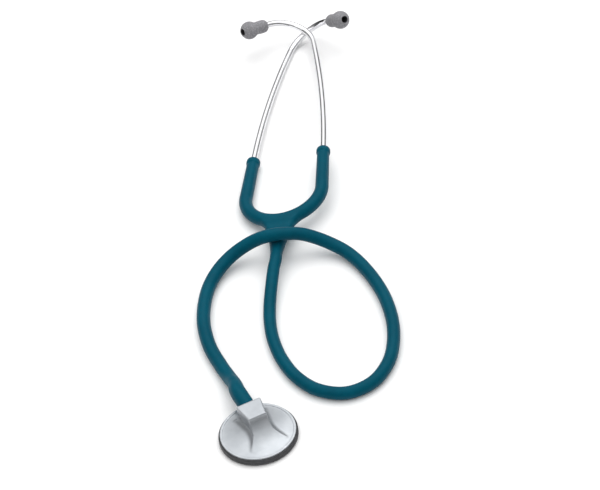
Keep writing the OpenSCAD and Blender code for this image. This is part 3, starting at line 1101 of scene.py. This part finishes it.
def makeEarTip(t, hand, sign):
    bulb, neck, long = t["bulbDiameter"] / 2, t["neckDiameter"] / 2, t["length"]
    middle = long - bulb + t["domeShift"]
    heights = np.concatenate([
        np.linspace(0.55, 1, 4), np.linspace(1.3, 19.2, 56), np.linspace(19.3, 19.55, 3),
    ])
    dome = np.sqrt(np.maximum(bulb ** 2 - (heights - middle) ** 2, 0))
    below = np.clip(neck - t["neckInset"] - heights, 0, neck)
    stalk = (neck ** t["neckPower"] - below ** t["neckPower"]) ** (1 / t["neckPower"])
    stalk = stalk - t["neckTaper"] * np.clip(heights - neck, 0, None)
    outside = softMax(dome, np.where(heights < middle, stalk, 0), t["waistSoftness"])
    socket = t["socketRadius"]
    profile = [(socket + 0.08, 0.1), (socket + 0.25, 0.02), (outside[0] - 0.3, 0.02), (outside[0] - 0.1, 0.2)]
    profile += list(zip(outside, heights))
    mouth = t["mouthDiameter"] / 2
    profile += [(outside[-1] - 0.25, 19.8), (mouth + 0.45, 19.93), (mouth + 0.15, 19.88), (mouth, 19.7)]
    outsideCount = len(profile)
    profile += [(mouth - 0.15, 19.1), (mouth - 0.2, 18.0), (mouth - 0.25, 13.2), (t["bore"] / 2, 12.4)]
    profile += [(t["bore"] / 2, 10.2), (t["bore"] / 2 + 0.1, t["socketDepth"]), (socket, t["socketDepth"])]
    profile += [(socket, 0.3)]
    onBend = earChain(earTube, sign)[2]
    place = onBend(1) @ moved(0, t["seat"] * mm, 0) @ turned(-90, "X")
    piece = lathe("ear_tip_" + hand + "_soft", profile, t["segments"], place)
    if sign < 0:
        piece.data.flip_normals()
    finished(piece, grey, hand + "_tip", ["ear_tip_" + hand])
    # the bore and socket faces take the painted-shade rubber, dark where the hole is only in shadow
    piece.data.materials.append(boreShadeLook)
    for number, face in enumerate(piece.data.polygons):
        face.material_index = int(number % len(profile) >= outsideCount - 1)


for sign, hand in sides:
    makeEarTip(earTip, hand, sign)
print("ear tips ready")


# chestpiece body: a dish and its block, drawn as one soft-edged casting

bodyShape = {
    "radius": 23.3,
    "capRadius": 23.9,
    "underside": 1.5,
    "capHeight": 4.64,
    "lipHeight": 5.5,
    "dishHeight": 5.2,
    "dishRadius": 22.0,
    "dishRise": 4.4,
    "blockTop": 19.0,
    "blockWidth": 17.2,
    "blockWaist": 12.6,
    "blockEnd": 14.0,
    "blockShift": 1.3,
    "foot": 4.0,
    "stemHole": 2.64,
    "holeDepth": 8,
    "holeSoftness": 0.25,
    "dishSoftness": 0.4,
    "dishScale": 0.97,  # keeps the sloping dish close to a true distance
    "risePower": 1.2,
    "blockSoftness": 1.2,
    "meshStep": 0.5,
}


def outlineDistance(corners, x, y):
    # signed distance from a closed outline, less than nothing inside
    best = np.full(x.shape, 1e9)
    inside = np.zeros(x.shape, bool)
    for i, (ax, ay) in enumerate(corners):
        bx, by = corners[i - 1]
        ex, ey = bx - ax, by - ay
        wx, wy = x - ax, y - ay
        t = np.clip((wx * ex + wy * ey) / (ex * ex + ey * ey), 0, 1)
        best = np.minimum(best, (wx - ex * t) ** 2 + (wy - ey * t) ** 2)
        over = (ay > y) != (by > y)
        level = np.where(ay == by, 1, by - ay)
        inside ^= over & (x < ex * (y - ay) / level + ax)
    return np.where(inside, -1, 1) * np.sqrt(best)


def bodyField(points):
    s = bodyShape
    u, v, z = points.T
    w, n, top, end = s["blockWidth"] / 2, s["blockWaist"] / 2, s["blockTop"], s["blockEnd"]
    away = np.hypot(u, v - s["blockShift"])
    rise = s["dishRise"] * np.clip(1 - away / s["dishRadius"], 0, 1) ** s["risePower"]
    dish = (z - s["dishHeight"] - rise) * s["dishScale"]
    dish = softMax(dish, away - s["radius"] + s["dishSoftness"], s["dishSoftness"])
    dish = np.maximum(dish, s["underside"] + 1.2 - z)
    plan = outlineDistance([
        (end, w), (end, -w), (0.8, -n), (-4, -n - 0.2), (-8, -n - 1.2), (-14, -n - 3.6),
        (-14, n + 3.6), (-8, n + 1.2), (-4, n + 0.2), (-0.4, n)], u, v)
    sweepDown = [(-0.8 - 13.4 * t ** 1.4, top - (top - 4) * t ** 0.93) for t in np.linspace(1, 0, 14)]
    side = outlineDistance(sweepDown + [(end, top), (end, 8.3), (end - 1.5, 6.6), (end - 3, 4)], u, z)
    cross = outlineDistance([
        (-w - 3, 4), (-w - 3, 6), (-w + 1.6, 10), (-w + 0.7, 13), (-w, top - 3.6), (-w, top),
        (w, top), (w, top - 3.6), (w - 0.7, 13), (w - 1.6, 10), (w + 3, 6), (w + 3, 4)], v, z)
    block = softMax(softMax(plan, side, s["blockSoftness"]), cross, s["blockSoftness"])
    solid = softMin(dish, block, s["foot"])
    hole = np.hypot(v, z - 1000 * chestpiece["stemHeight"]) - s["stemHole"]
    hole = np.maximum(hole, end - s["holeDepth"] - u)
    return softMax(solid, -hole, s["holeSoftness"])


def makeBody(s):
    reach = s["capRadius"] + 2
    low, high = (-reach, -reach, 1.4), (reach, reach + 2, s["blockTop"] + 1.5)
    points, faces = drawSkin(bodyField, low, high, s["meshStep"])
    piece = fieldPiece("chestpiece_casting", bodyField, points, faces, blockFrame)
    lip, cap, wall, rest = s["lipHeight"], s["capRadius"], s["radius"], s["capHeight"]
    profile = [
        (17.9, 2.8), (19.3, s["underside"]), (wall, s["underside"]), (wall, 2.42),
        (wall - 0.45, 2.82), (wall - 0.45, 3.62), (wall, 4.02), (wall, rest),
        (cap - 0.08, rest), (cap, rest + 0.08),
    ]
    profile += arc(cap - 0.22, lip - 0.22, 0.22, 0, 85) + arc(22.6, lip - 0.3, 0.3, 90, 180, 9)
    profile += [(22.2, 5.0), (21, 3.4)]
    ring = lathe("chestpiece_lip", profile, 192, Matrix.Identity(4), 30)
    bpy.ops.object.select_all(action="DESELECT")
    for part in (ring, piece):
        part.select_set(True)
    bpy.context.view_layer.objects.active = piece
    bpy.ops.object.join()
    finished(piece, cast, "frame", ["chestpiece_body"])


makeBody(bodyShape)
print("chestpiece body ready")


# rim: the soft ring that holds the diaphragm

rim = {
    "radius": 25.0,
    "height": 4.6,
    "discRadius": 20.8,
    "bodyRadius": 23.34,
    "grooveHeight": 2.75,
    "grooveDepth": 0.16,
    "segments": 192,
}


def makeRim(r):
    big, high, inner, groove = r["radius"], r["height"], r["bodyRadius"], r["grooveHeight"]
    profile = [(r["discRadius"] + 0.8, 0.56), (r["discRadius"] + 0.8, 0.12), (r["discRadius"] + 0.92, 0)]
    profile += arc(big - 1.6, 1.6, 1.6, -90, 0, 12)
    profile += [(big, groove - 0.22), (big - 0.05, groove - 0.14)]
    profile += [(big - r["grooveDepth"], groove - 0.05), (big - r["grooveDepth"], groove + 0.05)]
    profile += [(big - 0.05, groove + 0.14), (big - 0.02, groove + 0.22)]
    profile += arc(big - 1.24, high - 1.22, 1.22, 5, 90, 10)
    profile += [(inner + 0.1, high), (inner, high - 0.1), (inner, 3.87), (inner - 0.4, 3.47)]
    profile += [(inner - 0.4, 2.97), (inner, 2.57), (inner, 0.56)]
    piece = lathe("rim_soft_ring", profile, r["segments"], Matrix.Identity(4))
    finished(piece, charcoal, "frame", ["rim_ring"])


makeRim(rim)
print("rim ready")


# CAD nodes that stay as they are

carried = {
    "ear_tip_core_left": coreLook, "ear_tip_core_right": coreLook,
    "spring_clip_left": steel, "spring_clip_right": steel,
    "chestpiece_stem": steel, "diaphragm": sheetLook, "diaphragm_surround": charcoal,
}
for name, look in carried.items():
    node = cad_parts[name]
    node.data.materials.clear()
    node.data.materials.append(look)
print("carried nodes ready")


# floor, lights and surroundings

studio = {
    "floorColour": (0.96, 0.96, 0.96),
    "floorSize": 6.0,
    "floorPatch": 0.985,
    "aimAt": (0.04, 0.17, 0),
    "keyPower": 6.5,
    "keyPlace": (0.35, 0.75, 1.5),
    "keySize": 1.3,
    "fillPower": 3.0,
    "fillPlace": (-1.1, -0.5, 1.2),
    "fillSize": 1.2,
    "skyTop": 1.75,
    "skyBand": 0.05,
    "skyLeft": 0.3,
    "skyRight": 0.85,
    "skyFront": 0.68,
}


def makeStudio(s):
    size = s["floorSize"] / 2
    corners = [(-size, -size, 0), (size, -size, 0), (size, size, 0), (-size, size, 0)]
    floor = newPiece("floor", corners, [(0, 1, 2, 3)])
    finish = Finish("paleFloor", s["floorColour"], 0.9)
    skin = finish.add(grain, Per_Metre=300)
    low = tuple(s["floorPatch"] * c for c in s["floorColour"])
    finish.colour(finish.mix(skin.outputs["Cloud"], s["floorColour"], low))
    finish.shader.inputs["Specular IOR Level"].default_value = 0.1
    floor.data.materials.append(finish.material)
    middle = Vector(s["aimAt"])
    for name, power, place, width in (
        ("keyLight", s["keyPower"], s["keyPlace"], s["keySize"]),
        ("fillLight", s["fillPower"], s["fillPlace"], s["fillSize"]),
    ):
        data = bpy.data.lights.new(name, "AREA")
        data.energy, data.size = power, width
        light = bpy.data.objects.new(name, data)
        scene.collection.objects.link(light)
        light.location = place
        light.rotation_euler = (middle - Vector(place)).to_track_quat("-Z", "Y").to_euler()
    world = bpy.data.worlds.new("studioSky")
    scene.world = world
    world.use_nodes = True
    tree = world.node_tree
    background = next(n for n in tree.nodes if n.type == "BACKGROUND")
    place = tree.nodes.new("ShaderNodeTexCoord")
    split = tree.nodes.new("ShaderNodeSeparateXYZ")
    tree.links.new(place.outputs["Generated"], split.inputs[0])
    up = rangeNode(tree, split.outputs["Z"], 0.2, 0.8, s["skyBand"], s["skyTop"], True)
    away = rangeNode(tree, split.outputs["Y"], -0.6, 0.3, s["skyFront"], 1, True)
    left = rangeNode(tree, split.outputs["X"], -0.8, -0.3, s["skyLeft"], 1, True)
    right = rangeNode(tree, split.outputs["X"], 0.3, 0.8, 1, s["skyRight"], True)
    around = mathNode(tree, "MULTIPLY", away, mathNode(tree, "MULTIPLY", left, right))
    tree.links.new(mathNode(tree, "MULTIPLY", up, around), background.inputs["Color"])
    scene.view_settings.view_transform = "Standard"


makeStudio(studio)
print("studio ready")
